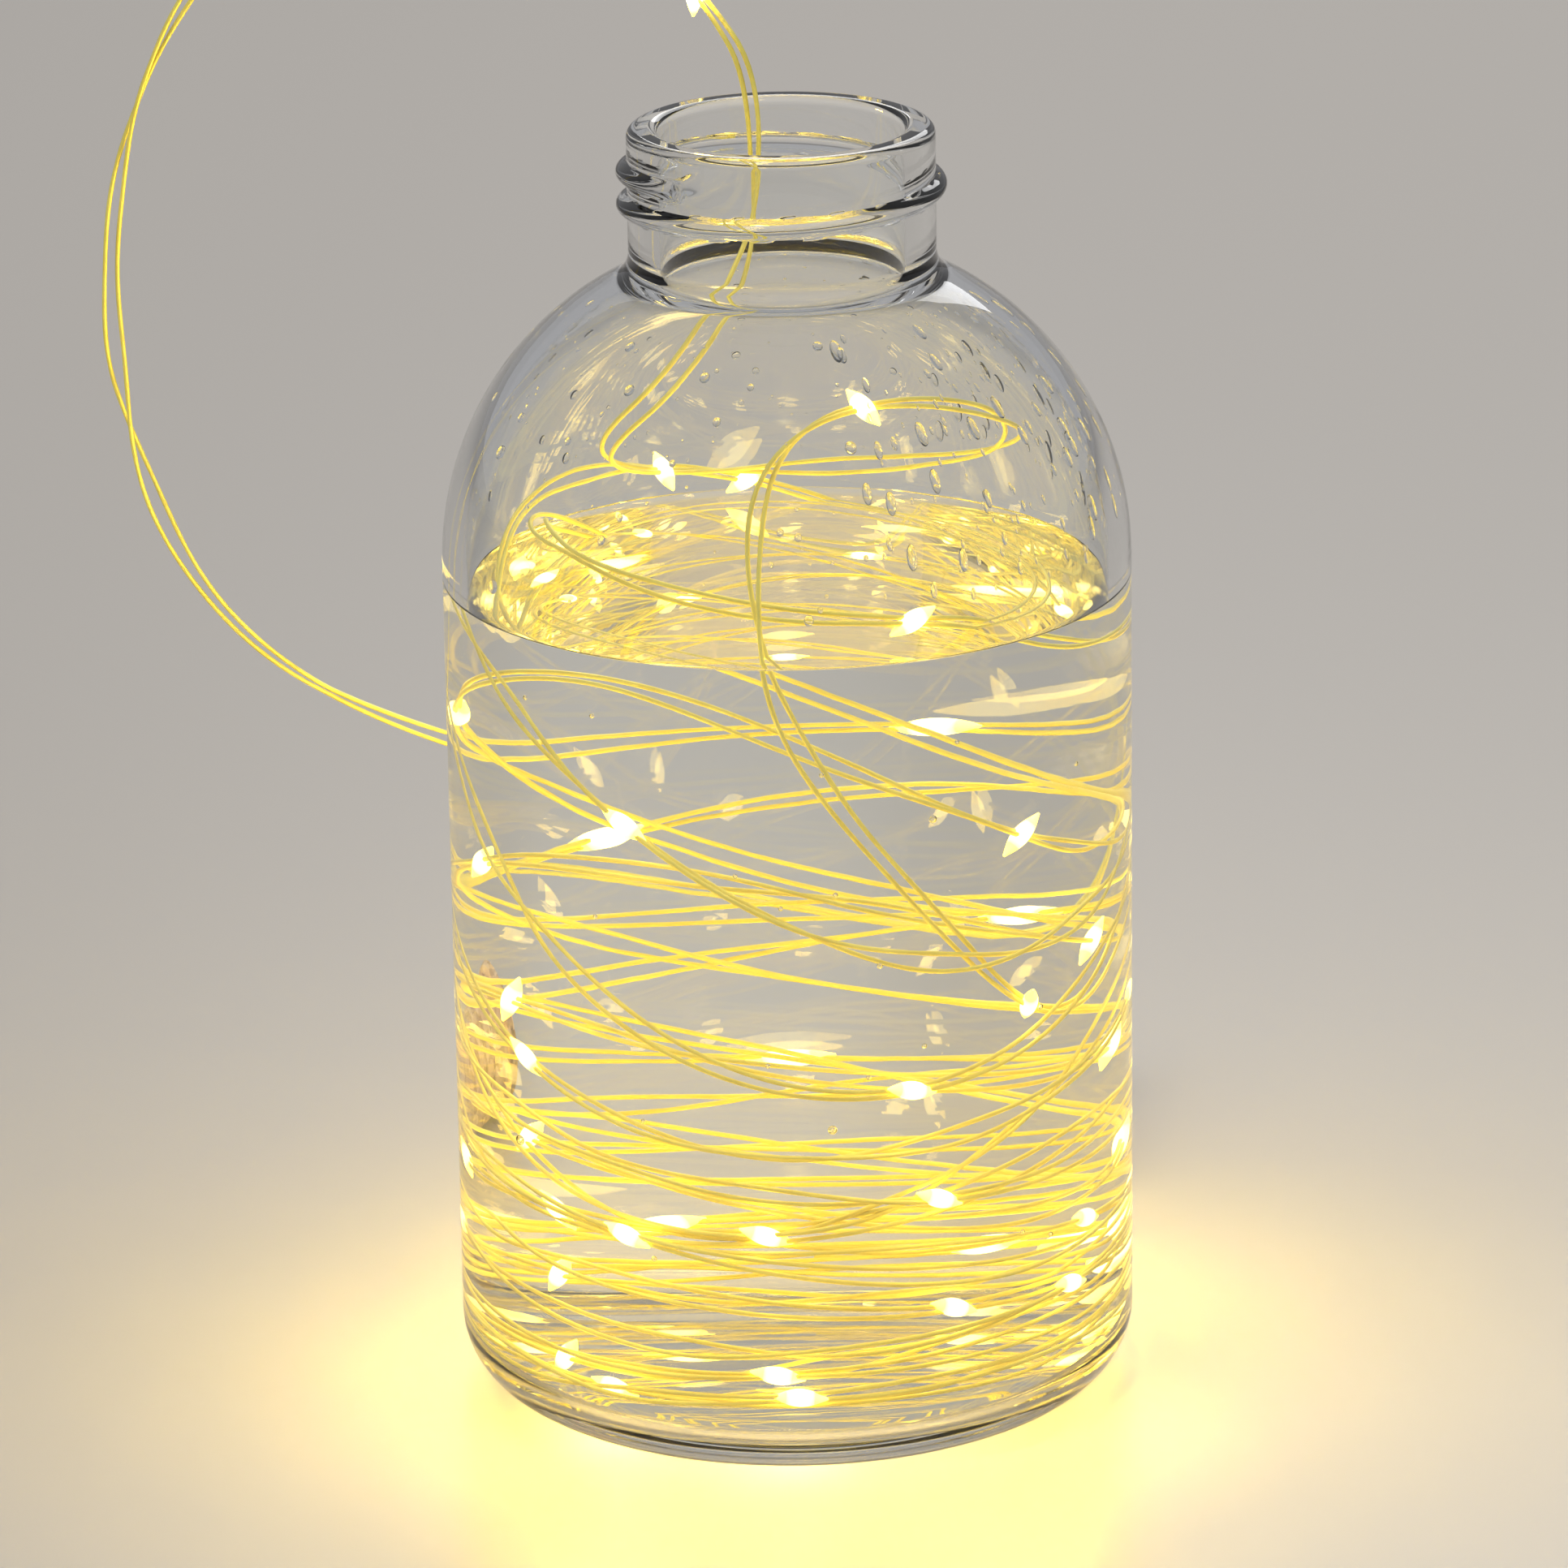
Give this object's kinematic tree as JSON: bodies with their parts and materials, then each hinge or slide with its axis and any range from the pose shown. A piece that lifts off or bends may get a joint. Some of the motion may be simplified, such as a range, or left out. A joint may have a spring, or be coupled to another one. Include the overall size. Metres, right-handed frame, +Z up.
{
  "type": "cork bottle light",
  "caption": "Clear wide-necked glass bottle with a string of tiny drop lamps on fine copper wire wound up inside it, fed from a cork stopper that holds the cells and a slide switch.",
  "frame": {"origin": "middle of the bottle's base, on the surface it stands on", "axes": "+Z up along the bottle's axis, -Y towards the viewer of the picture, +X to the viewer's right; the stopper lies on the table behind the bottle at +Y, its cap away from the bottle"},
  "size_m": [0.1358, 0.1409, 0.1948],
  "materials": {
    "glass": "clear and smooth",
    "copper_wire": "enamelled copper twin wire",
    "epoxy": "clear drop over a warm white chip",
    "cork": "matte ground cork",
    "grommet_rubber": "matte",
    "carrier_plastic": "moulded",
    "cell_steel": "nickel plated",
    "contact_steel": "nickel plated strip and wire",
    "board": "solder mask",
    "resistor_body": "chip resistor",
    "switch_steel": "tinned",
    "switch_plastic": "moulded"
  },
  "bodies": {
    "bottle_and_string": {"bottle": "glass", "string_wire": "copper_wire", "lead_wire": "copper_wire", "led_drops": "epoxy", "stopper_sleeve": "cork", "wire_grommet": "grommet_rubber", "slack_wire": "copper_wire"},
    "carrier": {"battery_carrier": "carrier_plastic", "stopper_cap": "cork", "button_cell_1": "cell_steel", "button_cell_2": "cell_steel", "button_cell_3": "cell_steel", "negative_spring": "contact_steel", "positive_contact": "contact_steel", "contact_strip": "contact_steel", "circuit_board": "board", "series_resistor": "resistor_body", "switch_case": "switch_steel", "switch_pins": "contact_steel"},
    "slider": {"switch_slider": "switch_plastic", "switch_bridge": "contact_steel"}
  },
  "joints": [
    {"name": "carrier_pull", "type": "slide", "parent": "bottle_and_string", "child": "carrier", "axis": [0, 0.9979, 0.0653], "range_m": [0, 0.02], "deforming": ["slack_wire"]},
    {"name": "switch_slide", "type": "slide", "parent": "carrier", "child": "slider", "axis": [-1, 0, 0], "range_m": [0, 0.002]}
  ]
}
